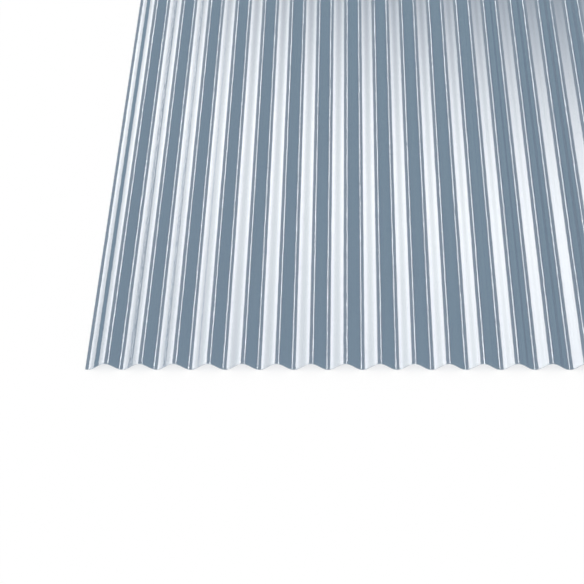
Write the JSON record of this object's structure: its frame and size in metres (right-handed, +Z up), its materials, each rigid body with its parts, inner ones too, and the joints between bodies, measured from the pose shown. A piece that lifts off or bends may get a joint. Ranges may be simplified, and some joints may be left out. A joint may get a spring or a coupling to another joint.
{
  "type": "corrugated pvc roofing sheet",
  "caption": "Glossy tinted PVC roofing sheet with round sine-shaped waves along its length, straight sawn ends and side edges made to overlap the next sheet.",
  "frame": {"origin": "on the floor, midway between the two side edges and midway between the two cut ends", "axes": "+X across the waves, towards the edge that ends on a crest; +Y along the waves; +Z up, towards the weather side"},
  "size_m": [1.267, 2, 0.0192],
  "materials": {
    "pvc_sheet": "gloss, smoke blue-grey tint"
  },
  "bodies": {
    "root": {"corrugated_sheet": "pvc_sheet"}
  },
  "joints": []
}
